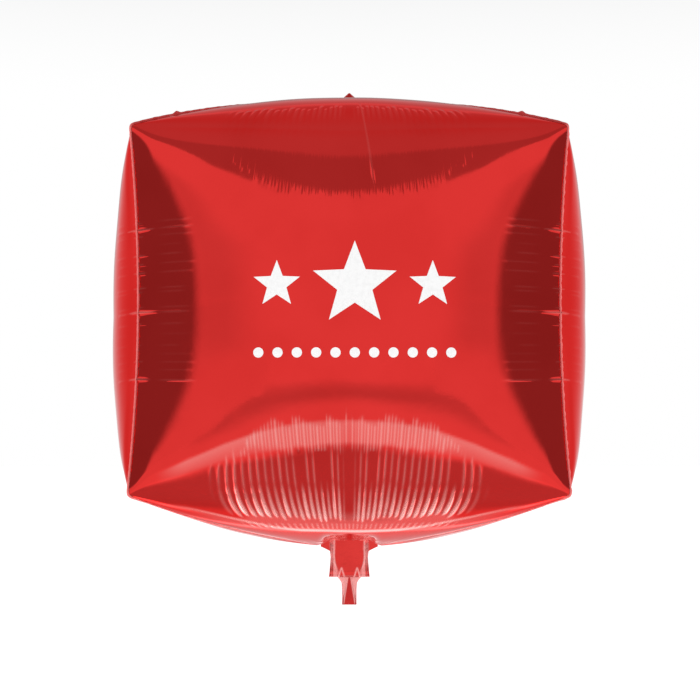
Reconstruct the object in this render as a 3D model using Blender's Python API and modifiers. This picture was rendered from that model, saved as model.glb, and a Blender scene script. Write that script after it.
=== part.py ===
"""Cube foil balloon: four foil panels, their four welded seams, the filling neck with its
valve tube, and the tab at the top.

Each panel runs from the neck at the bottom pole, up one face, and over to the top pole. The
seams lie in the two upright planes at 45 degrees, so the bulged face turns into the top and
the bottom without a seam. The origin is the middle of the envelope, the front faces -Y and
+Z is up.
"""
import math

import bmesh
import bpy
import numpy as np
from mathutils import Matrix

# Envelope, in metres from its middle
CORNER_OUT = 0.1842     # cube corner, along X and along Y, measured to the seam
CORNER_UP = 0.1556      # cube corner, above the middle
WAIST_OUT = 0.1768      # the upright seam is drawn in to this at mid-height
BULGE = 0.2148          # middle of a face
CROWN = 0.2055          # pole, above and below the middle
NECK_SAG = 0.0065       # the neck draws the bottom pole this much further down
SAG_REACH = 0.110       # radius of the film that the neck draws down
PROFILE_POWER = 2.77    # superellipse power of the upright section through a face
CROSS_POWER = 3.34      # power of the bulge across a face
HIP_POWER = 1.77        # power of the seam's slope from the corner to the pole
CORNER_SHARE = 0.463    # share of the way from mid-height to the pole, along the film, at the corner
EDGE_ROUND = 0.006      # rounding of the corner, as a share of that way, at the seam
FACE_ROUND = 0.30       # growth of that rounding towards the middle of the face
SHOULDER = 0.0076       # extra fullness between the middle of a face and its corners
SHOULDER_SHARE = 0.408  # share of the way to the pole where the shoulder is fullest
SHOULDER_REACH = 0.1415 # how quickly the shoulder fades from there, as a share of that way
SHOULDER_RISE = 0.30    # below this share the shoulder swells outward only

# Roll of the film into a seam, which fans out from the corner
ROLL_CORNER = 0.462     # slope that the roll adds at the seam, by the corner
ROLL_WAIST = -0.029     # and at mid-height, where the face itself bulges more
ROLL_SPREAD = 1.50      # width of the roll, as a share of the distance from the corner
ROLL_REACH = 0.0105     # distance from the corner past which the roll widens no more
ROLL_LIFT = 0.13        # share of the roll that lifts the top film
ROLL_FADE = 0.154       # distance from the corner over which its slope changes
ROLL_TURN = 0.05        # share of the way over which the roll turns from outward to upward
FACE_RUN = 0.333        # length of film, in metres, for the whole way's share, below the corner
HIP_RUN = 0.400         # and above it

# Walls and seams
WALL_SHARE = 0.047      # wall thickness as a share of the distance from the middle: about 10 mm
POLE_HOLE = 0.006       # each panel ends this far from the axis
WEB_HALF = 0.0004       # half the thickness of a welded seam
FLANGE = 0.0018         # how far a seam stands proud of the film
GAP = 0.0003            # clearance between neighbouring solids
PANEL_SHIFT = math.sqrt(2.0) * (WEB_HALF + GAP)
WEB_END_TOP = 0.011     # a seam ends this far from the axis at the top, along its own plane
WEB_END_BOTTOM = 0.013  # and at the bottom

# Resolution of the meshes
COLUMNS = 20
COLUMN_CROWDING = 1.3   # power that sets the columns closer together by the seams
ROWS = 32
ROWS_TO_CORNER = 8      # rows from mid-height to a corner, half of the rows up to the pole
WEB_STEPS = 48
WEB_STEPS_TO_CORNER = 12

# Neck and valve tube: the real sizes of their sections
POLE_BOTTOM = -(CROWN + NECK_SAG)
PLUG_HALF = POLE_HOLE + PANEL_SHIFT - GAP
PLUG_DEEP = 0.009
NECK_HEIGHT = 0.0275
NECK_HALF_WIDTH = 0.0188
NECK_HALF_DEPTH = 0.0036
SHOULDER_HALF = 0.027
TUBE_HEIGHT = 0.0257
TUBE_HALF_WIDTH = 0.0069
TUBE_HALF_DEPTH = 0.0022
MOUTH_HALF_WIDTH = 0.0045
MOUTH_HALF_DEPTH = 0.0008
MOUTH_DEEP = 0.012
TAB_HEIGHT = 0.0165
TAB_NECK_HEIGHT = 0.0100
TAB_HALF_WIDTH = 0.0057
TAB_HALF_DEPTH = 0.0022

RED = (0.62, 0.030, 0.028)
DEEP_RED = (0.48, 0.020, 0.020)


def clear_scene():
    """Remove every object of the start-up scene."""
    for found in list(bpy.data.objects):
        bpy.data.objects.remove(found, do_unlink=True)


def make_collection(name):
    """Return a new collection that is linked to the scene."""
    group = bpy.data.collections.new(name)
    bpy.context.scene.collection.children.link(group)
    return group


def make_foil(name, colour, roughness):
    """Return a metallic foil material."""
    foil = bpy.data.materials.new(name)
    foil.use_nodes = True
    shader = foil.node_tree.nodes["Principled BSDF"]
    shader.inputs["Base Color"].default_value = (*colour, 1.0)
    shader.inputs["Metallic"].default_value = 1.0
    shader.inputs["Roughness"].default_value = roughness
    return foil


def add_object(name, mesh, foil, group):
    """Put a mesh into a collection as one named object with its own material."""
    if foil is not None:
        mesh.materials.append(foil)
    made = bpy.data.objects.new(name, mesh)
    group.objects.link(made)
    return made


def face_profile(samples=600):
    """Upright section through the middle of a face, from mid-height to the pole.

    Returns the share of the way along it, the distance out and the height, as arrays.
    """
    turn = np.linspace(0.0, math.pi / 2, samples)
    out = BULGE * np.cos(turn) ** (2 / PROFILE_POWER)
    up = CROWN * np.sin(turn) ** (2 / PROFILE_POWER)
    out[-1] = 0.0
    way = np.concatenate([[0.0], np.cumsum(np.hypot(np.diff(out), np.diff(up)))])
    return way / way[-1], out, up


PROFILE = face_profile()


def seam_point(share, rounding):
    """Distance out and height of the seam at a share of the way from mid-height to the pole."""
    past = share - CORNER_SHARE
    reach = CORNER_SHARE if past < 0 else 1 - CORNER_SHARE
    over = (past + math.hypot(past, rounding * (1 - (past / reach) ** 2))) / 2
    upright = (CORNER_SHARE + past - over) / CORNER_SHARE
    slope = min(over / (1 - CORNER_SHARE), 1.0)
    out = WAIST_OUT + (CORNER_OUT - WAIST_OUT) * upright ** 2 - CORNER_OUT * slope
    up = CORNER_UP * upright + (CROWN - CORNER_UP) * (1 - (1 - slope) ** HIP_POWER)
    return out, up


def neck_sag(radius):
    """How far the neck draws the film down at a distance from the axis."""
    return NECK_SAG * max(1 - radius / SAG_REACH, 0.0) ** 1.5


def shoulder(side, share):
    """Fullness of the film between the middle of a face and the seam, most near the corners."""
    fade = math.exp(-((share - SHOULDER_SHARE) / SHOULDER_REACH) ** 2)
    return SHOULDER * 4 * side ** 2 * (1 - side ** 2) * fade


def seam_roll(inward, share):
    """Fullness of the film at a distance inward from the seam. Returns how far out and up."""
    past = share - CORNER_SHARE
    apart = abs(past) * (FACE_RUN if past < 0 else HIP_RUN)
    width = ROLL_SPREAD * ROLL_REACH * math.tanh(apart / ROLL_REACH) + GAP / 10
    fade = max(1 - apart / ROLL_FADE, 0.0)
    slope = ROLL_WAIST + (ROLL_CORNER - ROLL_WAIST) * fade if past < 0 else ROLL_CORNER * fade
    near = min(inward, width)
    full = slope * near * (1 - near / (2 * width))
    turned = 0.5 + 0.5 * math.tanh(past / ROLL_TURN)
    return full * (1 - turned), full * turned * ROLL_LIFT


def film_point(across, along):
    """Point of the outer film: across and along run from -1 to 1. Returns side, out and up."""
    share = abs(along)
    side = abs(across)
    seam_out, seam_up = seam_point(share, EDGE_ROUND + FACE_ROUND * (1 - side))
    mid_out = float(np.interp(share, PROFILE[0], PROFILE[1]))
    mid_up = float(np.interp(share, PROFILE[0], PROFILE[2]))
    blend = side ** CROSS_POWER
    x = seam_out * across
    full = shoulder(side, share)
    roll_out, roll_up = seam_roll((1 - side) * seam_out, share)
    out = mid_out + (seam_out - mid_out) * blend + full + roll_out
    up = mid_up + (seam_up - mid_up) * blend + full * min(share / SHOULDER_RISE, 1.0) / 2 + roll_up
    if along < 0:
        up = -up - neck_sag(math.hypot(x, out))
    return x, out, up


def pole_share():
    """Share of the way to the pole at which a panel ends, POLE_HOLE from the axis."""
    return CORNER_SHARE + (1 - CORNER_SHARE) * (1 - POLE_HOLE / CORNER_OUT)


def even_share(place, corner_place, end):
    """Share of the way to the pole for an even place on a grid, with the corner at corner_place."""
    span = abs(place)
    if span <= corner_place:
        share = CORNER_SHARE * span / corner_place
    else:
        share = CORNER_SHARE + (end - CORNER_SHARE) * (span - corner_place) / (1 - corner_place)
    return math.copysign(share, place)


def panel_mesh():
    """Closed wall of one panel: the outer film, the same film drawn in, and the rim between."""
    bm = bmesh.new()
    bmesh.ops.create_grid(bm, x_segments=COLUMNS, y_segments=ROWS, size=1.0)
    end = pole_share()
    for vert in bm.verts:
        across = math.copysign(1 - (1 - abs(vert.co.x)) ** COLUMN_CROWDING, vert.co.x)
        along = even_share(vert.co.y, 2 * ROWS_TO_CORNER / ROWS, end)
        x, out, up = film_point(across, along)
        vert.co = (x, -out, up)
    inner = bmesh.ops.duplicate(bm, geom=bm.verts[:] + bm.edges[:] + bm.faces[:])["geom"]
    inner_verts = [item for item in inner if isinstance(item, bmesh.types.BMVert)]
    inner_faces = [item for item in inner if isinstance(item, bmesh.types.BMFace)]
    bmesh.ops.scale(bm, vec=(1 - WALL_SHARE,) * 3, verts=inner_verts)
    bmesh.ops.reverse_faces(bm, faces=inner_faces)
    rims = [edge for edge in bm.edges if edge.is_boundary]
    bmesh.ops.bridge_loops(bm, edges=rims)
    bmesh.ops.translate(bm, vec=(0, -PANEL_SHIFT, 0), verts=bm.verts[:])
    bmesh.ops.recalc_face_normals(bm, faces=bm.faces[:])
    mesh = bpy.data.meshes.new("panel")
    bm.to_mesh(mesh)
    bm.free()
    mesh.shade_smooth()
    mesh.set_sharp_from_angle(angle=math.radians(35))
    return mesh


def seam_outline():
    """Closed outline of a seam in its own plane: distance from the axis and height."""
    path = []
    for step in range(WEB_STEPS + 1):
        along = even_share(-1 + 2 * step / WEB_STEPS, 2 * WEB_STEPS_TO_CORNER / WEB_STEPS, 1.0)
        out, up = seam_point(abs(along), EDGE_ROUND)
        height = up if along > 0 else -up - neck_sag(math.sqrt(2) * out)
        path.append(np.array([math.sqrt(2) * (out + PANEL_SHIFT / 2), height]))
    path = [p for p in path if p[0] > (WEB_END_TOP if p[1] > 0 else WEB_END_BOTTOM)]
    path.insert(0, np.array([WEB_END_BOTTOM, -CROWN - neck_sag(WEB_END_BOTTOM)]))
    path.append(np.array([WEB_END_TOP, CROWN]))
    proud = []
    for index, point in enumerate(path):
        ahead = path[min(index + 1, len(path) - 1)]
        behind = path[max(index - 1, 0)]
        run = (ahead - behind) / np.linalg.norm(ahead - behind)
        proud.append(point + FLANGE * np.array([run[1], -run[0]]))
    drawn_in = [point * (1 - WALL_SHARE) for point in path]
    drawn_in[0][0] = path[0][0]
    drawn_in[-1][0] = path[-1][0]
    return proud + drawn_in[::-1]


def outline_curve(name, outline, half_thickness):
    """Flat closed outline as a 2D curve, extruded to its thickness."""
    curve = bpy.data.curves.new(name, "CURVE")
    curve.dimensions = "2D"
    curve.fill_mode = "BOTH"
    curve.extrude = half_thickness
    spline = curve.splines.new("POLY")
    spline.points.add(len(outline) - 1)
    for point, place in zip(spline.points, outline):
        point.co = (place[0], place[1], 0.0, 1.0)
    spline.use_cyclic_u = True
    return curve


def stacked_mesh(name, sections):
    """Solid down a stack of rectangular sections: height, half width and half depth."""
    bm = bmesh.new()
    bmesh.ops.create_cube(bm, size=2.0)
    height, wide, deep = sections[1]
    for vert in bm.verts:
        end = sections[0] if vert.co.z > 0 else sections[1]
        vert.co = (vert.co.x * end[1], vert.co.y * end[2], end[0])
    face = min(bm.faces, key=lambda item: item.calc_center_median().z)
    for next_height, next_wide, next_deep in sections[2:]:
        grown = bmesh.ops.extrude_face_region(bm, geom=[face])["geom"]
        bmesh.ops.delete(bm, geom=[face], context="FACES_ONLY")
        verts = [item for item in grown if isinstance(item, bmesh.types.BMVert)]
        face = next(item for item in grown if isinstance(item, bmesh.types.BMFace))
        bmesh.ops.scale(bm, vec=(next_wide / wide, next_deep / deep, 1.0), verts=verts)
        bmesh.ops.translate(bm, vec=(0, 0, next_height - height), verts=verts)
        height, wide, deep = next_height, next_wide, next_deep
    bmesh.ops.recalc_face_normals(bm, faces=bm.faces[:])
    mesh = bpy.data.meshes.new(name)
    bm.to_mesh(mesh)
    bm.free()
    return mesh


def soften(made, width):
    """Round a piece's edges with a small bevel."""
    bevel = made.modifiers.new("rounded edges", "BEVEL")
    bevel.width = width
    bevel.segments = 2
    bevel.limit_method = "ANGLE"
    bevel.angle_limit = math.radians(40)


def build_panels(group):
    """Four identical panels, one for each face of the cube."""
    mesh = panel_mesh()
    for name, degrees in (("panel_front", 0), ("panel_right", 90), ("panel_back", 180), ("panel_left", 270)):
        panel = add_object(name, mesh.copy(), make_foil(name + "_foil", RED, 0.12), group)
        panel.rotation_euler = (0, 0, math.radians(degrees))


def build_seams(group):
    """Four identical seams in the planes at 45 degrees."""
    outline = seam_outline()
    places = (("seam_back_right", 45), ("seam_back_left", 135), ("seam_front_left", 225), ("seam_front_right", 315))
    for name, degrees in places:
        curve = outline_curve(name, outline, WEB_HALF)
        seam = add_object(name, curve, make_foil(name + "_foil", DEEP_RED, 0.2), group)
        seam.rotation_euler = (math.pi / 2, 0, math.radians(degrees))


def build_neck(group):
    """Flat collar with its shoulders, and the plug that closes the bottom pole."""
    top = POLE_BOTTOM - GAP
    bottom = POLE_BOTTOM - NECK_HEIGHT
    sections = (
        (POLE_BOTTOM + PLUG_DEEP, PLUG_HALF, PLUG_HALF),
        (top, PLUG_HALF, PLUG_HALF),
        (top - 0.0003, SHOULDER_HALF, NECK_HALF_DEPTH + 0.0006),
        (top - 0.0022, NECK_HALF_WIDTH + 0.003, NECK_HALF_DEPTH + 0.0006),
        (top - 0.0060, NECK_HALF_WIDTH, NECK_HALF_DEPTH),
        (bottom + 0.0050, NECK_HALF_WIDTH, NECK_HALF_DEPTH),
        (bottom, NECK_HALF_WIDTH + 0.0005, NECK_HALF_DEPTH - 0.001),
    )
    neck = add_object("neck", stacked_mesh("neck", sections), make_foil("neck_foil", RED, 0.18), group)
    soften(neck, 0.0006)


def build_valve_tube(group, cutters):
    """Flat valve tube under the neck, wide where it leaves the neck, with its mouth."""
    top = POLE_BOTTOM - NECK_HEIGHT - GAP
    bottom = top - TUBE_HEIGHT
    sections = (
        (top, 2.0 * TUBE_HALF_WIDTH, TUBE_HALF_DEPTH - 0.0006),
        (top - 0.0028, 1.4 * TUBE_HALF_WIDTH, TUBE_HALF_DEPTH),
        (top - 0.0055, 1.05 * TUBE_HALF_WIDTH, TUBE_HALF_DEPTH),
        (top - 0.0120, TUBE_HALF_WIDTH, TUBE_HALF_DEPTH),
        (bottom, TUBE_HALF_WIDTH, TUBE_HALF_DEPTH),
    )
    foil = make_foil("valve_tube_foil", DEEP_RED, 0.25)
    tube = add_object("valve_tube", stacked_mesh("valve_tube", sections), foil, group)
    mouth_sections = (
        (bottom + MOUTH_DEEP, MOUTH_HALF_WIDTH, MOUTH_HALF_DEPTH),
        (bottom - 0.002, MOUTH_HALF_WIDTH, MOUTH_HALF_DEPTH),
    )
    mouth = add_object("mouth_cutter", stacked_mesh("mouth_cutter", mouth_sections), None, cutters)
    mouth.hide_render = True
    mouth.display_type = "WIRE"
    cut = tube.modifiers.new("mouth", "BOOLEAN")
    cut.operation = "DIFFERENCE"
    cut.object = mouth


def build_top_tab(group):
    """Small pointed tab where the four seams meet at the top, and the plug under it."""
    sections = (
        (CROWN + TAB_HEIGHT, 0.12 * TAB_HALF_WIDTH, 0.3 * TAB_HALF_DEPTH),
        (CROWN + TAB_NECK_HEIGHT, TAB_HALF_WIDTH, TAB_HALF_DEPTH),
        (CROWN + 0.0008, 1.3 * TAB_HALF_WIDTH, 1.1 * TAB_HALF_DEPTH),
        (CROWN + 0.0003, PLUG_HALF, PLUG_HALF),
        (CROWN - PLUG_DEEP, PLUG_HALF, PLUG_HALF),
    )
    tab = add_object("top_tab", stacked_mesh("top_tab", sections), make_foil("top_tab_foil", DEEP_RED, 0.2), group)
    soften(tab, 0.0004)


def main():
    """Build the balloon."""
    clear_scene()
    group = make_collection("cube_foil_balloon")
    cutters = make_collection("cutters")
    build_panels(group)
    build_seams(group)
    build_neck(group)
    build_valve_tube(group, cutters)
    build_top_tab(group)


main()
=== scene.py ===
"""Looks of the cube foil balloon: pleated mirror film, crimped seams, filling neck, valve tube,
top tab and a printed row of stars, in a white studio.

Sizes are in metres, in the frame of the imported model: the origin is the middle of the
envelope, the front faces -Y and +Z is up.
"""
from __future__ import annotations

import logging
import math
from dataclasses import dataclass
from enum import Enum
from typing import Callable, Optional, Union

import bmesh
import bpy
import numpy as np
from mathutils import Matrix, Vector
from mathutils.bvhtree import BVHTree

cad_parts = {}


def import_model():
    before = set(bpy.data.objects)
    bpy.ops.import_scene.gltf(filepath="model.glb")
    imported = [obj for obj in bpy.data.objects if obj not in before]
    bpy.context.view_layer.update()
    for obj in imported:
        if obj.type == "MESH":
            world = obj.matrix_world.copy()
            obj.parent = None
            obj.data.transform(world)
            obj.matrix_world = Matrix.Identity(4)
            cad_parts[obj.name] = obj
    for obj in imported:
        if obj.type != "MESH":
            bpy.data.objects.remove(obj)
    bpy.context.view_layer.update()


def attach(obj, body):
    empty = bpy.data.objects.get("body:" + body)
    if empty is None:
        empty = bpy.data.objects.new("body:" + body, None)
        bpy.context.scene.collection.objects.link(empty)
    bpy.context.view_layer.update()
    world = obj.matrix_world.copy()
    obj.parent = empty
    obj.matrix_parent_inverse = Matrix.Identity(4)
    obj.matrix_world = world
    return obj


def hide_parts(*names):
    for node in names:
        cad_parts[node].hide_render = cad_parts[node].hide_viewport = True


LOG = logging.getLogger("cube_foil_balloon")
Array = np.ndarray
Level = Union[Array, float]
Levels = tuple[float, ...]
Pair = tuple[float, float]
Tint = tuple[float, float, float]
Triple = tuple[float, float, float]


class Placed(Enum):
    """Parts that repeat round the upright axis: the CAD node comes first, then its turn in degrees."""

    @property
    def node(self) -> str:
        """CAD node that the part stands for."""
        return self.value[0]

    @property
    def turn(self) -> float:
        """Turn about Z, in radians."""
        return math.radians(self.value[1])

    @property
    def seed(self) -> int:
        """Seed of the part's own unevenness."""
        return self.value[2]


class Face(Placed):
    """The four faces of the cube."""

    FRONT = ("panel_front", 0, 3)
    RIGHT = ("panel_right", 90, 5)
    BACK = ("panel_back", 180, 8)
    LEFT = ("panel_left", 270, 13)


class Corner(Placed):
    """The four welded seams. Their turn is that of their plane, from +X."""

    BACK_RIGHT = ("seam_back_right", 45, 45)
    BACK_LEFT = ("seam_back_left", 135, 135)
    FRONT_LEFT = ("seam_front_left", 225, 225)
    FRONT_RIGHT = ("seam_front_right", 315, 315)


# Shader helpers


class Value:
    """A socket of a shader tree that can be used in Python expressions."""

    def __init__(self, tree: "ShaderTree", socket: bpy.types.NodeSocket) -> None:
        self.tree = tree
        self.socket = socket

    def _math(self, operation: str, first: "Number", second: "Number" = 0.0) -> "Value":
        """Add a Math node on two numbers."""
        return self.tree.node("ShaderNodeMath", {"operation": operation}, {0: first, 1: second})

    def __add__(self, other: "Number") -> "Value":
        return self._math("ADD", self, other)

    def __radd__(self, other: "Number") -> "Value":
        return self._math("ADD", other, self)

    def __sub__(self, other: "Number") -> "Value":
        return self._math("SUBTRACT", self, other)

    def __rsub__(self, other: "Number") -> "Value":
        return self._math("SUBTRACT", other, self)

    def __mul__(self, other: "Number") -> "Value":
        return self._math("MULTIPLY", self, other)

    def __rmul__(self, other: "Number") -> "Value":
        return self._math("MULTIPLY", other, self)

    def __truediv__(self, other: "Number") -> "Value":
        return self._math("DIVIDE", self, other)

    def __rtruediv__(self, other: "Number") -> "Value":
        return self._math("DIVIDE", other, self)

    def __pow__(self, other: "Number") -> "Value":
        return self._math("POWER", self, other)

    def __abs__(self) -> "Value":
        return self._math("ABSOLUTE", self)

    def at_most(self, other: "Number") -> "Value":
        """The smaller of the two."""
        return self._math("MINIMUM", self, other)

    def at_least(self, other: "Number") -> "Value":
        """The larger of the two."""
        return self._math("MAXIMUM", self, other)

    def rise(self, low: "Number", high: "Number") -> "Value":
        """0 below low, 1 above high, and smooth between."""
        return self.tree.node("ShaderNodeMapRange", {"interpolation_type": "SMOOTHSTEP"},
                              {"Value": self, "From Min": low, "From Max": high})

    def window(self, start: "Number", full: "Number", fade: "Number", end: "Number") -> "Value":
        """0 outside start and end, 1 from full to fade, and smooth between."""
        return self.rise(start, full) * (1 - self.rise(fade, end))


Number = Union[Value, float]


class ShaderTree:
    """Builds the nodes of one material, or of the world."""

    def __init__(self, tree: bpy.types.NodeTree) -> None:
        self.tree = tree
        tree.nodes.clear()

    def node(self, kind: str, settings: Optional[dict] = None, sockets: Optional[dict] = None,
             out: Union[int, str] = 0) -> Value:
        """Add a node.

        Args:
            kind: the node's type.
            settings: properties that are set first.
            sockets: value or link of each input, by name or number.
            out: output that is handed back.

        Returns:
            The chosen output.
        """
        made = self.tree.nodes.new(kind)
        for name, value in (settings or {}).items():
            setattr(made, name, value)
        for name, value in (sockets or {}).items():
            self._feed(made.inputs[name], value)
        return Value(self, made.outputs[out] if made.outputs else made.inputs[0])

    def _feed(self, socket: bpy.types.NodeSocket, value: object) -> None:
        """Link a value to a socket, or set the socket to a constant."""
        if isinstance(value, Value):
            self.tree.links.new(value.socket, socket)
        else:
            socket.default_value = value

    def split(self, vector: Value) -> tuple[Value, Value, Value]:
        """The three numbers of a vector."""
        outputs = self.node("ShaderNodeSeparateXYZ", None, {0: vector}).socket.node.outputs
        return Value(self, outputs[0]), Value(self, outputs[1]), Value(self, outputs[2])

    def blend(self, share: Number, first: object, second: object) -> Value:
        """Colour between first and second."""
        made = self.tree.nodes.new("ShaderNodeMix")
        made.data_type = "RGBA"
        for name, value in (("Factor", share), ("A", first), ("B", second)):
            self._feed(next(s for s in made.inputs if s.name == name and s.enabled), value)
        return Value(self, next(s for s in made.outputs if s.enabled))

    def noise(self, place: Value, scale: float, detail: float) -> Value:
        """Noise of a given scale, 0 to 1."""
        return self.node("ShaderNodeTexNoise", None, {"Vector": place, "Scale": scale, "Detail": detail})

    def bump(self, height: Value, depth: float, under: Optional[Value] = None,
             strength: float = 1.0) -> Value:
        """Normal of a relief, on top of the one under it."""
        sockets = {"Strength": strength, "Distance": depth, "Height": height}
        if under is not None:
            sockets["Normal"] = under
        return self.node("ShaderNodeBump", None, sockets)

    def surface(self, sockets: dict) -> None:
        """Close the tree with a Principled shader that has these sockets."""
        shader = self.node("ShaderNodeBsdfPrincipled", None, sockets)
        self.node("ShaderNodeOutputMaterial", None, {"Surface": shader})


def new_material(name: str) -> tuple[bpy.types.Material, ShaderTree]:
    """A new material and its empty tree."""
    made = bpy.data.materials.new(name)
    made.use_nodes = True
    return made, ShaderTree(made.node_tree)


def colour(red: float, green: float, blue: float) -> tuple[float, float, float, float]:
    """A linear colour with full alpha."""
    return (red, green, blue, 1.0)


@dataclass(frozen=True)
class FoilFinish:
    """Mirror-bright metallised film: a clear red lacquer on vacuum-deposited aluminium."""

    name: str
    lacquer: Tint
    dark_lacquer: Tint
    # Pale pink painted on as highlight where the attribute "fold" lies.
    highlight_tint: Tint = (0.95, 0.32, 0.30)
    edge_tint: Tint = (1.0, 0.47, 0.47)
    metallic: float = 1.0
    # How much less metallic the film turns under the painted highlight, so that the pale shows under any
    # light.
    highlight_diffuse: float = 0.0
    roughness: float = 0.10
    scuff: float = 0.05
    cloud_scale: float = 14.0
    haze_scale: float = 55.0
    ripple_scale: float = 90.0
    ripple_depth: float = 0.00004
    grain_scale: float = 900.0
    grain_depth: float = 0.000004

    def material(self) -> bpy.types.Material:
        """The film's material.

        Returns:
            A metallic material whose colour, roughness and relief vary over the film. The
            attribute "fold" says where highlight is painted on: there the colour turns pale pink and
            the film partly matt, so that the pale shows under any light.
        """
        made, tree = new_material(self.name)
        place = tree.node("ShaderNodeTexCoord", out="Object")
        fold = tree.node("ShaderNodeAttribute", {"attribute_name": "fold"}, out="Fac")
        cloud = tree.noise(place, self.cloud_scale, 3.0).rise(0.35, 0.7)
        haze = tree.noise(place, self.haze_scale, 5.0).rise(0.45, 0.8)
        tone = tree.blend(cloud, colour(*self.lacquer), colour(*self.dark_lacquer))
        ripple = tree.bump(tree.noise(place, self.ripple_scale, 2.0), self.ripple_depth)
        grain = tree.bump(tree.noise(place, self.grain_scale, 2.0), self.grain_depth, ripple)
        tree.surface({
            # Painted highlight: where the attribute "fold" lies, the colour goes pale pink and the film less
            # metallic.
            "Base Color": tree.blend(fold, tone, colour(*self.highlight_tint)),
            "Metallic": self.metallic - self.highlight_diffuse * fold,
            "Roughness": self.roughness + self.scuff * haze,
            "Specular Tint": colour(*self.edge_tint),
            "Normal": grain})
        return made


@dataclass(frozen=True)
class InkFinish:
    """Opaque white screen-print ink on the film."""

    name: str = "white_ink"
    white: Tint = (0.99, 0.99, 0.99)
    worn: Tint = (0.94, 0.94, 0.94)
    mottle_scale: float = 260.0
    weave_scale: float = 1400.0
    weave_depth: float = 0.00002
    roughness: float = 0.45

    def material(self) -> bpy.types.Material:
        """The ink's material.

        Returns:
            A white satin material with the faint mottle of a screen print.
        """
        made, tree = new_material(self.name)
        place = tree.node("ShaderNodeTexCoord", out="Object")
        mottle = tree.noise(place, self.mottle_scale, 4.0)
        tree.surface({
            "Base Color": tree.blend(mottle.rise(0.4, 0.7), colour(*self.white), colour(*self.worn)),
            "Roughness": self.roughness + 0.15 * mottle,
            "Normal": tree.bump(tree.noise(place, self.weave_scale, 1.0), self.weave_depth, strength=0.6)})
        return made


# The pale pinks given below are painted highlight, and the film turns partly matt under them.
FILM = FoilFinish(
    "red_mirror_film", (0.72, 0.035, 0.032), (0.68, 0.031, 0.028), highlight_tint=(0.98, 0.52, 0.48),
    highlight_diffuse=0.75, roughness=0.08)
SEAM_FOIL = FoilFinish(
    "red_crimped_seam", (0.50, 0.030, 0.028), (0.40, 0.022, 0.020), highlight_tint=(0.95, 0.21, 0.20),
    metallic=0.25, roughness=0.35, scuff=0.10, ripple_scale=240.0, ripple_depth=0.00025,
    grain_scale=1500.0, grain_depth=0.00001)
NECK_FOIL = FoilFinish(
    "red_creased_neck", (0.72, 0.045, 0.040), (0.62, 0.034, 0.031), highlight_tint=(1.0, 0.45, 0.43),
    highlight_diffuse=0.6, roughness=0.14, scuff=0.10, ripple_scale=160.0, ripple_depth=0.00022,
    grain_scale=1100.0, grain_depth=0.00001)
TUBE_FOIL = FoilFinish(
    "red_valve_film", (0.60, 0.035, 0.032), (0.48, 0.026, 0.024), highlight_tint=(1.0, 0.45, 0.43),
    highlight_diffuse=0.6, roughness=0.22, scuff=0.12, ripple_scale=200.0, ripple_depth=0.00020,
    grain_scale=1300.0, grain_depth=0.00001)
TAB_FOIL = FoilFinish(
    "red_tab_film", (0.55, 0.030, 0.028), (0.42, 0.022, 0.020), roughness=0.24, scuff=0.10,
    ripple_scale=240.0, ripple_depth=0.00020, grain_scale=1500.0, grain_depth=0.00001)
INK = InkFinish()


# Shape of the envelope


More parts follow.
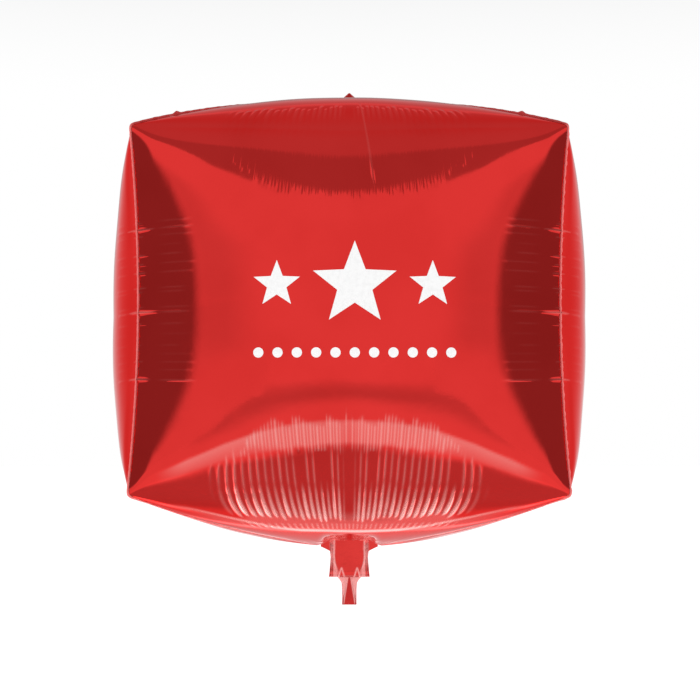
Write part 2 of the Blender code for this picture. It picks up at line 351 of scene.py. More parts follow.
@dataclass(frozen=True)
class EnvelopeShape:
    """Shape of the inflated film, with the same sizes as the solids."""

    corner_out: float = 0.1842
    corner_up: float = 0.1556
    waist_out: float = 0.1768
    bulge: float = 0.2148
    crown: float = 0.2055
    neck_sag: float = 0.0065
    sag_reach: float = 0.110
    profile_power: float = 2.77
    cross_power: float = 3.34
    hip_power: float = 1.77
    corner_share: float = 0.463
    edge_round: float = 0.006
    face_round: float = 0.30
    shoulder: float = 0.0076
    shoulder_share: float = 0.408
    shoulder_reach: float = 0.1415
    shoulder_rise: float = 0.30
    roll_corner: float = 0.462
    roll_waist: float = -0.029
    roll_spread: float = 1.50
    roll_reach: float = 0.0105
    roll_lift: float = 0.13
    roll_fade: float = 0.154
    roll_turn: float = 0.05
    face_run: float = 0.333
    hip_run: float = 0.400
    pole_hole: float = 0.006
    pucker_rise: float = 0.0066
    pucker_reach: Pair = (0.015, 0.030)
    pucker_shares: Pair = (0.67, 0.80)
    wrinkle_reach: Levels = (0.0010, 0.0040, 0.015, 0.027)
    wrinkle_shares: Pair = (0.655, 0.70)
    wrinkle_pales: Pair = (0.12, 0.57)
    web_half: float = 0.0004
    flange: float = 0.0018
    gap: float = 0.0003

    @property
    def panel_shift(self) -> float:
        """How far a panel is moved out to leave room for the seams."""
        return math.sqrt(2.0) * (self.web_half + self.gap)

    @property
    def pole_share(self) -> float:
        """Share of the way to the pole at which a panel ends."""
        return self.corner_share + (1 - self.corner_share) * (1 - self.pole_hole / self.corner_out)

    @property
    def pole_bottom(self) -> float:
        """Height of the bottom pole."""
        return -(self.crown + self.neck_sag)

    def profile(self, share: Array) -> tuple[Array, Array]:
        """Upright section through the middle of a face.

        Args:
            share: share of the way along it, from mid-height to the pole.

        Returns:
            Distance out and height.
        """
        turn = np.linspace(0.0, math.pi / 2, 600)
        out = self.bulge * np.cos(turn) ** (2 / self.profile_power)
        up = self.crown * np.sin(turn) ** (2 / self.profile_power)
        out[-1] = 0.0
        way = np.concatenate([[0.0], np.cumsum(np.hypot(np.diff(out), np.diff(up)))])
        return np.interp(share, way / way[-1], out), np.interp(share, way / way[-1], up)

    def seam(self, share: Array, rounding: Array) -> tuple[Array, Array]:
        """Distance out and height of the seam at a share of the way from mid-height to the pole."""
        past = share - self.corner_share
        reach = np.where(past < 0, self.corner_share, 1 - self.corner_share)
        over = (past + np.hypot(past, rounding * (1 - (past / reach) ** 2))) / 2
        upright = (self.corner_share + past - over) / self.corner_share
        slope = np.minimum(over / (1 - self.corner_share), 1.0)
        out = self.waist_out + (self.corner_out - self.waist_out) * upright ** 2 - self.corner_out * slope
        up = self.corner_up * upright + (self.crown - self.corner_up) * (1 - (1 - slope) ** self.hip_power)
        return out, up

    def roll(self, inward: Array, share: Array) -> tuple[Array, Array]:
        """Fullness of the film at a distance inward from the seam.

        Args:
            inward: distance from the seam.
            share: share of the way from mid-height to the pole.

        Returns:
            How far out and how far up.
        """
        past = share - self.corner_share
        apart = np.abs(past) * np.where(past < 0, self.face_run, self.hip_run)
        width = self.roll_spread * self.roll_reach * np.tanh(apart / self.roll_reach) + self.gap / 10
        fade = np.maximum(1 - apart / self.roll_fade, 0.0)
        face = self.roll_waist + (self.roll_corner - self.roll_waist) * fade
        near = np.minimum(inward, width)
        full = np.where(past < 0, face, self.roll_corner * fade) * near * (1 - near / (2 * width))
        turned = 0.5 + 0.5 * np.tanh(past / self.roll_turn)
        return full * (1 - turned), full * turned * self.roll_lift

    def sag(self, radius: Array) -> Array:
        """How far the neck draws the film down at a distance from the axis."""
        return self.neck_sag * np.maximum(1 - radius / self.sag_reach, 0.0) ** 1.5

    def pucker(self, reach: Array, along: Array) -> Array:
        """How far the film folds in at the neck, at a distance along the flat collar."""
        inside = falling(reach, *self.pucker_reach)
        return self.pucker_rise * inside * smooth_step(-along, *self.pucker_shares)

    def pucker_highlight(self, reach: Array, along: Array) -> Array:
        """Painted highlight on the small wrinkles round the neck: how pale they are."""
        wrinkle = 0.5 + 0.5 * np.cos(210.0 * along + 3.0 * np.sin(260.0 * reach))
        pale = np.interp(wrinkle, (0.0, 1.0), self.wrinkle_pales)
        return pale * window(reach, *self.wrinkle_reach) * smooth_step(-along, *self.wrinkle_shares)

    def film(self, across: Array, along: Array) -> Array:
        """Smooth film of the front face, before its creases.

        Args:
            across: -1 at the left seam to 1 at the right seam.
            along: -1 at the bottom pole to 1 at the top pole.

        Returns:
            Points, one row each.
        """
        share, side = np.abs(along), np.abs(across)
        seam_out, seam_up = self.seam(share, self.edge_round + self.face_round * (1 - side))
        mid_out, mid_up = self.profile(share)
        blend = side ** self.cross_power
        x = seam_out * across
        fade = np.exp(-((share - self.shoulder_share) / self.shoulder_reach) ** 2)
        full = self.shoulder * 4 * side ** 2 * (1 - side ** 2) * fade
        roll_out, roll_up = self.roll((1 - side) * seam_out, share)
        out = mid_out + (seam_out - mid_out) * blend + full + roll_out
        up = mid_up + (seam_up - mid_up) * blend + roll_up
        up = up + full * np.minimum(share / self.shoulder_rise, 1.0) / 2
        up = np.where(along < 0, -up - self.sag(np.hypot(x, out)), up)
        return np.stack([x, -(out + self.panel_shift), up], axis=-1)

    def outward(self, across: Array, along: Array) -> Array:
        """Unit normals of the smooth film, pointing out."""
        step = 0.002
        right, left = np.minimum(across + step, 1.0), np.maximum(across - step, -1.0)
        upward = self.film(across, along + step) - self.film(across, along - step)
        normal = np.cross(self.film(right, along) - self.film(left, along), upward)
        return normal / np.maximum(np.linalg.norm(normal, axis=-1, keepdims=True), 1e-12)


def smooth_step(value: Array, low: Level, high: Level) -> Array:
    """0 below low, 1 above high, and smooth between."""
    share = np.clip((value - low) / (high - low), 0.0, 1.0)
    return share * share * (3 - 2 * share)


def falling(value: Array, low: Level, high: Level) -> Array:
    """1 below low, 0 above high, and smooth between."""
    return 1 - smooth_step(value, low, high)


def window(value: Array, start: Level, full: Level, fade: Level, end: Level) -> Array:
    """0 outside start and end, 1 from full to fade, and smooth between."""
    return smooth_step(value, start, full) * falling(value, fade, end)


def cosines(place: Array, waves: tuple[Pair, ...], turns: Array) -> Array:
    """Sum of waves, each with its pace, its size and its own turn."""
    return sum(size * np.cos(pace * place + turn) for (pace, size), turn in zip(waves, turns))


def ridge(distance: Array, half_width: Level) -> Array:
    """Rounded ridge of height 1 that ends at half_width."""
    return np.maximum(1 - (distance / half_width) ** 2, 0.0) ** 2


@dataclass(frozen=True)
class FilmCreases:
    """Pleats, gathers and wrinkles that the flat film takes when it is blown up.

    Shares run along the film, from 0 at mid-height to 1 at a pole, and sides run across it, from
    0 in the middle to 1 at a seam. Pales say how much pale highlight is painted on a fold, from 0
    to 1.
    """

    seed: int
    pitch: float = 0.0330
    lean: float = 0.86
    lean_start: float = 0.37
    lean_end: float = 0.62
    pleat_edge: float = 0.74
    pleat_sizes: Pair = (0.75, 1.15)
    pleat_scatter: float = 0.012
    pleat_sides: Levels = (0.02, 0.06, 0.60, 0.71)
    late_part: float = 0.16
    late_shares: Triple = (0.345, 0.42, 0.47)
    pleat_heights: Levels = (0.0, 0.00014, 0.00030, 0.00050, 0.00050)
    pleat_shares: Levels = (0.245, 0.275, 0.37, 0.55, 1.0)
    pleat_widths: Pair = (0.24, 0.46)
    between_height: float = 0.00010
    between_pale: float = 0.26
    streak_shares: Levels = (
        0.26, 0.275, 0.33, 0.348, 0.37, 0.42, 0.437, 0.455, 0.49, 0.525, 1.0)
    streak_pales: Levels = (
        0.0, 0.32, 0.34, 0.08, 0.24, 0.27, 0.16, 0.34, 0.54, 0.74, 0.74)
    streak_widths: Levels = (
        0.25, 0.25, 0.25, 0.22, 0.22, 0.24, 0.24, 0.28, 0.38, 0.48, 0.50)
    start_sides: Levels = (0.0, 0.38, 0.46, 0.55, 0.62, 0.75)
    start_shares: Levels = (0.268, 0.276, 0.306, 0.345, 0.372, 0.400)
    band_pale: float = 0.16
    band_sides: Levels = (0.0, 0.15, 0.3, 0.45, 0.6, 0.75, 0.875)
    band_tops: Levels = (0.270, 0.272, 0.280, 0.298, 0.326, 0.363, 0.400)
    band_bottoms: Levels = (0.328, 0.330, 0.336, 0.347, 0.366, 0.398, 0.430)
    foot_pale: float = 0.15
    under_pale: float = 0.11
    line_pale: float = 0.42
    line_half: float = 0.017
    line_sides: Levels = (0.0, 0.39, 0.554, 0.724, 0.85, 1.0)
    line_shares: Levels = (0.647, 0.642, 0.622, 0.575, 0.530, 0.500)
    pleat_ends: Levels = (0.585, 0.572, 0.565, 0.538, 0.518)
    end_sides: Levels = (0.0, 0.42, 0.645, 0.82, 0.88)
    top_size: float = 1.1
    top_pale: float = 0.04
    top_shares: Pair = (0.49, 0.56)
    tick: float = 0.615
    tick_half: float = 0.006
    tick_height: float = 0.0003
    tick_pale: float = 0.24
    tick_shares: Levels = (0.592, 0.602, 0.626, 0.636)
    tick_sides: Pair = (0.66, 0.74)
    gather_starts: Pair = (0.70, 0.78)
    gather_half: float = 0.0050
    gather_height: float = 0.00035
    gather_pale: float = 0.09
    jag_height: float = 0.0012
    jag_pale: float = 0.20
    jag_reach: float = 0.10
    serration: float = 0.00012
    serration_step: float = 0.0078
    gathers: tuple[Pair, ...] = (
        (0.215, 0.5), (0.198, 0.9), (0.181, 0.45), (0.157, 0.25), (0.134, 0.65), (0.112, 0.5),
        (0.090, 0.6), (0.052, 0.6), (0.042, 0.5), (0.004, 0.5), (-0.008, 1.0), (-0.037, 0.5),
        (-0.062, 0.25), (-0.090, 0.4), (-0.111, 0.25), (-0.131, 0.45), (-0.150, 0.4), (-0.175, 0.9))
    neck_waves: tuple[Pair, ...] = ((18.0, 1.0), (30.6, 0.6), (9.9, 0.5))
    neck_fold_height: float = 0.00014
    crease_height: float = 0.0006
    crease_pale: float = 0.06
    wave_height: float = 0.0001

    def spread(self, place: Array, share: Array) -> Array:
        """Where a column of the grid lies across the film: the pleats fan out past the corner.

        Args:
            place: even place of the column, -1 to 1.
            share: share of the way from mid-height to the pole.

        Returns:
            Place across the film, -1 to 1.
        """
        span = np.abs(place)
        past = np.clip(share, self.lean_start, self.lean_end) - self.lean_start
        inner = np.minimum(span, self.pleat_edge)
        fanned = inner * (1 + self.lean * inner * past)
        edge = self.pleat_edge * (1 + self.lean * self.pleat_edge * past)
        outer = edge + (1 - edge) * (span - self.pleat_edge) / (1 - self.pleat_edge)
        return np.copysign(np.where(span <= self.pleat_edge, fanned, outer), place)

    def pleats(self, place: Array, across: Array, along: Array) -> tuple[Array, Array]:
        """Upright pleats where the face rolls over into the top and the bottom.

        Args:
            place: even place of each point's column.
            across: its place across the film.
            along: its place along the film.

        Returns:
            Height of the pleats and the highlight painted on them.
        """
        chance = np.random.default_rng(self.seed)
        share, side = np.abs(along), np.abs(across)
        count = int(2 / self.pitch) + 4
        size = chance.uniform(*self.pleat_sizes, (2, count))
        start = chance.uniform(-self.pleat_scatter, self.pleat_scatter, (2, count))
        late = chance.uniform(0.0, 1.0, (2, count)) < self.late_part
        finish = chance.uniform(-self.pleat_scatter, self.pleat_scatter, (2, count))
        index = np.rint(place / self.pitch).astype(int)
        apart = np.abs(place / self.pitch - index)
        index = np.clip(index + count // 2, 0, count - 1)
        upper = (along > 0).astype(int)
        size, start, late, finish = (drawn[upper, index] for drawn in (size, start, late, finish))

        shifted = share - start
        top = np.interp(side, self.start_sides, self.start_shares)
        begun = smooth_step(shifted, top - 0.012, top + 0.006)
        low, *late_rise = self.late_shares
        begun = begun * np.where(late & (share > low), smooth_step(share, *late_rise), 1.0)
        stop = np.interp(side, self.end_sides, self.pleat_ends) + finish
        lasting = begun * falling(share, stop - 0.012, stop + 0.004) * window(side, *self.pleat_sides)
        ticked = (1 - upper) * falling(side, *self.tick_sides)
        tick = ticked * ridge(share - self.tick - start / 8, self.tick_half)
        foot = ticked * window(share, *self.tick_shares)
        between = begun * falling(shifted, 0.33, 0.35) * falling(side, 0.50, 0.60) * ridge(0.5 - apart, 0.2)

        height = np.interp(shifted, self.pleat_shares, self.pleat_heights)
        height = height * lasting * np.where(upper == 1, self.top_size, size)
        height = height * ridge(apart, np.interp(share, (0.37, 0.55), self.pleat_widths))
        height = height + self.tick_height * tick * ridge(apart, 0.16) + self.between_height * between
        # Painted highlight: pale lines on the pleat crests, on the ticks and between the pleats, where light
        # would be reflected.
        pale = np.interp(shifted, self.streak_shares, self.streak_pales) * size
        pale = np.where(upper == 1, self.top_pale * smooth_step(shifted, *self.top_shares), pale)
        width = np.interp(shifted, self.streak_shares, self.streak_widths)
        width = width * (1 - 0.6 * smooth_step(share, stop - 0.030, stop + 0.002))
        pale = pale * lasting * ridge(apart, width) + self.tick_pale * foot * ridge(apart, 0.34)
        return height, pale + self.between_pale * between * (1 - upper)

    def painted_band(self, across: Array, along: Array) -> Array:
        """Painted highlight: the pale stripe of reflected light above the bottom pleats, and the paler film
        at their foot.
        """
        side, down = np.abs(across), -along
        top = np.interp(side, self.band_sides, self.band_tops)
        bottom = np.interp(side, self.band_sides, self.band_bottoms)
        inside = window(down, top - 0.006, top + 0.004, bottom - 0.008, bottom + 0.006)
        depth = np.clip((down - top) / (bottom - top), 0.0, 1.0)
        outer = smooth_step(side, 0.35, 0.50)
        painted_band = inside * (1 + 0.6 * outer - (0.3 + 1.0 * outer) * depth) * falling(side, 0.76, 0.90)
        line = np.interp(side, self.line_sides, self.line_shares)
        start = line - 0.12 + 0.10 * smooth_step(side, 0.50, 0.72)
        foot = window(down, start, start + 0.04, line, line + 0.02) * falling(side, 0.6, 0.8)
        under = smooth_step(down, line, line + 0.02) * falling(side, 0.75, 0.95)
        bright = ridge(down - line, self.line_half) * falling(side, 0.7, 1.0)
        return (self.band_pale * painted_band + self.foot_pale * foot + self.under_pale * under
                + self.line_pale * bright)

    def side_gathers(self, across: Array, along: Array) -> tuple[Array, Array]:
        """Short gathers square to the upright seams.

        Returns:
            Height of the gathers and the highlight painted on them.
        """
        chance = np.random.default_rng(self.seed + 100)
        side = np.abs(across)
        height, pale = np.zeros_like(across), np.zeros_like(across)
        for place, size in self.gathers:
            start = chance.uniform(*self.gather_starts)
            apart = along - place
            shape = ridge(apart, self.gather_half * (1 + 0.6 * smooth_step(side, 0.93, 1.0)))
            ends = size < 0.95
            line = smooth_step(side, start, start + 0.06) * (1 - ends * smooth_step(side, 0.84, 0.93))
            jag = smooth_step(side, 0.90, 1.0) * size ** 2
            height += shape * (self.gather_height * size * line + self.jag_height * jag)
            reach = 1.0 - self.jag_reach * size ** 2
            tip = np.maximum((side - reach) / (1 - reach), 0.0)
            # Painted highlight on the jagged ends by the seams and on the gathers.
            pale += self.jag_pale * size * ridge(apart, 0.0005 + 0.0050 * size * tip) * (side > reach)
            pale += self.gather_pale * size * ridge(apart, 0.0030) * window(
                side, start, start + 0.05, 0.84, 0.92)
        teeth = np.cos(2 * math.pi * along / self.serration_step) * (0.6 + 0.4 * np.cos(47.0 * along + 2.0))
        edge = smooth_step(side, 0.93, 0.975) * falling(np.abs(along), 0.28, 0.34)
        return height + self.serration * teeth * edge, pale

    def neck_gathers(self, across: Array, along: Array) -> Array:
        """Radial folds where the film is drawn together at the neck and at the top tab."""
        turns = np.random.default_rng(self.seed + 200).uniform(0.0, 2 * math.pi, 3)
        fold = cosines(math.pi * across, self.neck_waves, turns)
        fade = window(np.abs(along), 0.70, 0.90, 0.90, 0.96)
        return self.neck_fold_height * fold * fade * np.where(along < 0, 1.0, 0.4)

    def long_crease(self, across: Array, along: Array) -> Array:
        """The long soft crease that runs down from the top tab beside the middle, 0 to 1."""
        middle = 0.085 + 0.144 * (0.60 - along)
        return ridge(across - middle, 0.009) * window(along, 0.28, 0.33, 0.57, 0.62)

    def waves(self, across: Array, along: Array) -> Array:
        """Very slight unevenness of the whole panel."""
        chance = np.random.default_rng(self.seed + 300)
        height = np.zeros_like(across)
        for _ in range(5):
            pace = chance.uniform(3.0, 9.0, 2)
            turn = chance.uniform(0.0, 2 * math.pi)
            height += np.cos(pace[0] * across + pace[1] * along * chance.choice((-1.0, 1.0)) + turn)
        return self.wave_height * height * (1 - np.abs(across) ** 4)

    def relief(self, place: Array, across: Array, along: Array) -> tuple[Array, Array]:
        """Height of the creased film above its smooth shape, and the highlight painted on its folds."""
        pleats, painted_streaks = self.pleats(place, across, along)
        gathers, jag_highlights = self.side_gathers(across, along)
        crease = self.long_crease(across, along)
        height = pleats + gathers + self.neck_gathers(across, along) + self.crease_height * crease
        pale = painted_streaks + jag_highlights + self.crease_pale * crease + self.painted_band(across, along)
        return height + self.waves(across, along), np.clip(pale, 0.0, 1.0)


@dataclass
class FoilPanel:
    """One of the four film panels, from the neck over a face to the top."""

    shape: EnvelopeShape
    face: Face
    crest_offsets: Levels = (-0.33, -0.16, 0.0, 0.16, 0.33, 0.5)
    edge_columns: int = 20
    face_rows: int = 30
    side_cuts: int = 6
    side_start: float = 0.66
    pleat_rows: int = 80
    pole_rows: int = 34
    face_share: float = 0.25
    pleat_share: float = 0.66

    def column_places(self, creases: FilmCreases) -> Array:
        """Even places of the grid's columns: six to each pleat, and more by the seams."""
        pleats = int(creases.pleat_edge / creases.pitch)
        inner = [(index + offset) * creases.pitch for index in range(-pleats, pleats + 1)
                 for offset in self.crest_offsets]
        reach = inner[-1]
        outer = 1 - (1 - reach) * (1 - np.arange(1, self.edge_columns + 1) / self.edge_columns) ** 1.15
        return np.concatenate([-outer[::-1], inner, outer])

    def row_places(self) -> Array:
        """Places of the grid's rows along the film."""
        end = self.shape.pole_share
        face = np.linspace(-self.face_share, self.face_share, self.face_rows + 1)
        pleat = np.linspace(self.face_share, self.pleat_share, self.pleat_rows + 1)[1:]
        pole = np.linspace(self.pleat_share, end, self.pole_rows + 1)[1:]
        upper = np.concatenate([pleat, pole])
        return np.concatenate([-upper[::-1], face, upper])

    def build(self) -> bpy.types.Object:
        """Model and dress the panel.

        Returns:
            The panel, in place.
        """
        creases = FilmCreases(self.face.seed)
        columns, rows = self.column_places(creases), self.row_places()
        bm = bmesh.new()
        bmesh.ops.create_grid(bm, x_segments=len(columns) - 1, y_segments=len(rows) - 1, size=1.0)
        side = np.interp(self.side_start, columns, np.linspace(-1.0, 1.0, len(columns)))
        face = np.interp(self.face_share, rows, np.linspace(-1.0, 1.0, len(rows)))
        upright = []
        for edge in bm.edges:
            low, high = edge.verts[0].co, edge.verts[1].co
            if abs(low.x - high.x) < 1e-5 and abs(low.x) > side and abs(low.y + high.y) / 2 < face:
                upright.append(edge)
        bmesh.ops.subdivide_edges(bm, edges=upright, cuts=self.side_cuts, use_grid_fill=True)
        name = self.face.node + "_film"
        mesh = smooth_mesh(bm, name)
        flat = np.empty(len(mesh.vertices) * 3)
        mesh.vertices.foreach_get("co", flat)
        grid = flat.reshape(-1, 3)
        place = np.interp(grid[:, 0], np.linspace(-1.0, 1.0, len(columns)), columns)
        along = np.interp(grid[:, 1], np.linspace(-1.0, 1.0, len(rows)), rows)
        across = creases.spread(place, np.abs(along))
        points = self.shape.film(across, along)
        height, pale = creases.relief(place, across, along)
        faces_collar = self.face in (Face.FRONT, Face.BACK)
        reach = np.abs(points[:, 0]) if faces_collar else -points[:, 1] - self.shape.panel_shift
        height = height - self.shape.pucker(reach, along)
        pale = np.clip(pale + self.shape.pucker_highlight(reach, along), 0.0, 1.0)
        points = points + self.shape.outward(across, along) * height[:, None]
        mesh.vertices.foreach_set("co", points.ravel())
        # The attribute "fold" carries the painted highlight of the pleats, gathers, crease and neck wrinkles.
        mesh.attributes.new("fold", "FLOAT", "POINT").data.foreach_set("value", pale)
        mesh.transform(Matrix.Rotation(self.face.turn, 4, "Z"))
        mesh.update()
        return finish_piece(name, mesh, FILM.material(), "film", self.face.node)


@dataclass
class SeamFlange:
    """Welded flange where two panels meet."""

    shape: EnvelopeShape
    corner: Corner
    steps: int = 640
    end: float = 0.975
    root: float = 0.003
    crimp: float = 0.00025
    crimp_waves: tuple[Pair, ...] = ((260.0, 1.0), (431.0, 0.6), (97.0, 0.5))
    uneven: float = 0.05
    bottom_cut: float = 0.6
    bump_place: float = 0.567
    bump_half: float = 0.009
    bump: float = 0.0016
    top_highlight: float = 0.1
    wall: float = 0.0005

    def build(self) -> bpy.types.Object:
        """Model and dress the flange.

        Returns:
            The flange, in place.
        """
        shape = self.shape
        bm = bmesh.new()
        bmesh.ops.create_grid(bm, x_segments=4, y_segments=self.steps, size=1.0)
        along = np.array([vert.co.y for vert in bm.verts]) * self.end
        proud = np.array([(vert.co.x + 1) / 2 for vert in bm.verts])
        share, step, slant = np.abs(along), 0.001, math.sqrt(2.0)
        rounding = np.full_like(share, shape.edge_round)
        out, up = shape.seam(share, rounding)
        out_past, up_past = shape.seam(share + step, rounding)
        out_before, up_before = shape.seam(share - step, rounding)
        run = np.stack([slant * (out_past - out_before), up_past - up_before], -1)
        run /= np.linalg.norm(run, axis=-1, keepdims=True)
        turns = np.random.default_rng(self.corner.seed).uniform(0.0, 2 * math.pi, 3)
        wobble = cosines(along, self.crimp_waves, turns)
        corner = shape.corner_share
        reach = shape.flange * (1 + self.uneven * wobble)
        reach = reach * (1 - self.bottom_cut * smooth_step(-along, corner, corner + 0.05))
        reach = reach + self.bump * ridge(along - self.bump_place, self.bump_half)
        place = np.stack([slant * (out + shape.panel_shift / 2), up], -1)
        past = proud * (reach + self.root) - self.root
        place = place + np.stack([run[:, 1], -run[:, 0]], -1) * past[:, None]
        tucked = shape.pucker(place[:, 0] / slant, along) - shape.sag(place[:, 0])
        height = np.where(along < 0, tucked - place[:, 1], place[:, 1])
        lean = self.crimp * smooth_step(proud, 0.55, 1.0) * wobble
        # Painted highlight: the seam gets the full pale tint up to the top corners and only a little past
        # them.
        pale = 1 - (1 - self.top_highlight) * smooth_step(along, corner - 0.01, corner + 0.01)
        store = bm.verts.layers.float.new("fold")
        for vert, *spot, paleness in zip(bm.verts, place[:, 0], lean, height, pale):
            vert.co = spot
            vert[store] = paleness
        bmesh.ops.recalc_face_normals(bm, faces=bm.faces[:])
        turn = Matrix.Rotation(self.corner.turn, 3, "Z")
        bmesh.ops.rotate(bm, cent=(0, 0, 0), matrix=turn, verts=bm.verts[:])
        name = self.corner.node + "_flange"
        piece = finish_piece(name, smooth_mesh(bm, name), SEAM_FOIL.material(), "seam", self.corner.node)
        films = piece.modifiers.new("two films", "SOLIDIFY")
        films.thickness = self.wall
        films.offset = 0.0
        return piece


class Fold(Enum):
    """Which folds a pressed sleeve has."""

    COLLAR = "collar"
    TUBE = "tube"
    TAB = "tab"


@dataclass(frozen=True)
class CollarFolds:
    """Folds of the filling neck: rolled edges with a slit, a zigzag and a hem, with pale highlight painted
    on.

    Distances are from the middle of the collar, and shares of the way are from its top down.
    """

    edge: float = 0.0131
    edge_taper: float = 0.0022
    roll_half: float = 0.0015
    roll_height: float = 0.0007
    slit: float = 0.0160
    slit_half: float = 0.0005
    low_corner: Pair = (0.0142, 0.0160)
    wing: Pair = (0.0176, 0.0190)
    zigzag: float = 0.0074
    zigzag_slope: float = 0.0110
    zigzag_top: float = 0.75
    zigzag_half: float = 0.0011
    hem: float = 0.975
    hem_half: float = 0.02
    fold_height: float = 0.0003

    def lay(self, reach: Array, down: Array) -> tuple[Array, Array]:
        """Lay the folds.

        Args:
            reach: distance from the middle.
            down: share of the way down, 0 to 1.

        Returns:
            Height of the folds and the highlight painted on them.
        """
        edge = self.edge - self.edge_taper * smooth_step(down, 0.45, 0.95)
        outside = smooth_step(reach, edge, edge + 0.0010)
        middle = edge + self.roll_half - 0.002 * smooth_step(down, 0.6, 0.9)
        roll = ridge(reach - middle, self.roll_half)
        slit = ridge(reach - self.slit, self.slit_half)
        low_corner = smooth_step(reach, *self.low_corner) * smooth_step(down, 0.62, 0.80)
        legs = np.abs(reach - self.zigzag) - self.zigzag_slope * (down - self.zigzag_top)
        zigzag = ridge(legs, self.zigzag_half) * smooth_step(down, 0.74, 0.77)
        hem = ridge(down - self.hem, self.hem_half)
        # Painted highlight on the outer strips, the rolled edges, the zigzag and the hem, taken off at the
        # slit, the low corners and the wings.
        pale = 0.60 * outside + 0.35 * roll - 0.45 * low_corner - 0.4 * slit
        pale = (pale - 0.9 * smooth_step(reach, *self.wing)) * smooth_step(down, 0.0, 0.03)
        height = self.roll_height * roll + self.fold_height * (zigzag + hem - slit)
        return height, np.clip(pale + 0.8 * zigzag + 0.25 * hem, 0.0, 1.0)


@dataclass
class PressedSleeve:
    """Sleeve of film pressed flat: the filling neck, the valve tube or the top tab.

    sections holds the height, half width and half depth of each section, from the top down.
    """

    name: str
    node: str
    slot: str
    finish: FoilFinish
    fold: Fold
    sections: tuple[Triple, ...]
    mouth_deep: float = 0.0
    core_half: float = 0.0182
    fin_share: float = 0.3
    around: int = 144
    rows: int = 56

    def folds(self, side: Array, down: Array, across: Array) -> tuple[Array, Array]:
        """Folds of the sleeve.

        Args:
            side: share of the half width, 0 to 1.
            down: share of the way down, 0 to 1.
            across: signed distance from the middle.

        Returns:
            Height of the folds and the highlight painted on them.
        """
        reach = np.abs(across)
        if self.fold is Fold.COLLAR:
            return CollarFolds().lay(reach, down)
        if self.fold is Fold.TUBE:
            # Painted highlight: the tube's sides are pale, and the middle, wider further down, keeps the
            # lacquer's red.
            dark = 0.0003 + 0.0042 * down
            pale = smooth_step(reach, dark, dark + 0.0012) * falling(down, 0.95, 0.98)
            pale = pale * (0.85 + 0.15 * np.cos(across * 5200.0 + 7.0 * down))
            return 0.0004 * ridge(reach - dark - 0.001, 0.0012), pale
        # Painted highlight: a pale stripe near each side of the tab.
        return 0.0002 * ridge(side - 0.6, 0.3), 0.25 * ridge(side - 0.75, 0.2)

    def build(self) -> bpy.types.Object:
        """Model and dress the sleeve.

        Returns:
            The sleeve, in place.
        """
        bm = bmesh.new()
        bmesh.ops.create_grid(bm, x_segments=self.around, y_segments=self.rows, size=1.0)
        turn = np.array([vert.co.x for vert in bm.verts]) * math.pi
        down = np.array([(1 - vert.co.y) / 2 for vert in bm.verts])
        heights, wides, deeps = (np.array(part) for part in zip(*self.sections))
        height = heights[0] + (heights[-1] - heights[0]) * down
        wide = np.interp(-height, -heights, wides)
        deep = np.interp(-height, -heights, deeps)
        front = np.sin(turn)
        x = wide * np.cos(turn)
        folds, pale = self.folds(np.abs(x) / wide, down, x)
        rounded = np.abs(front) ** 0.6
        if self.fold is Fold.COLLAR:
            pressed = np.maximum(1 - (x / self.core_half) ** 2, 0.0) ** 0.3
            rounded = np.minimum(rounded, np.maximum(pressed, self.fin_share))
        y = (deep * rounded + folds * np.minimum(np.abs(front) * 3, 1.0)) * np.sign(front)
        store = bm.verts.layers.float.new("fold")
        for vert, *spot, paleness in zip(bm.verts, x, y, height, pale):
            vert.co = spot
            vert[store] = paleness
        bmesh.ops.remove_doubles(bm, verts=bm.verts[:], dist=1e-6)
        rims = [edge for edge in bm.edges if edge.is_boundary]
        caps = bmesh.ops.holes_fill(bm, edges=rims, sides=0)["faces"]
        bmesh.ops.recalc_face_normals(bm, faces=bm.faces[:])
        if self.mouth_deep > 0:
            mouth = min(caps, key=lambda face: face.calc_center_median().z)
            bmesh.ops.inset_individual(bm, faces=[mouth], thickness=0.0004, depth=0.0)
            bmesh.ops.translate(bm, vec=(0, 0, self.mouth_deep), verts=mouth.verts[:])
        bmesh.ops.triangulate(bm, faces=[face for face in bm.faces if len(face.verts) > 4])
        mesh = smooth_mesh(bm, self.name)
        mesh.set_sharp_from_angle(angle=math.radians(50))
        return finish_piece(self.name, mesh, self.finish.material(), self.slot, self.node)


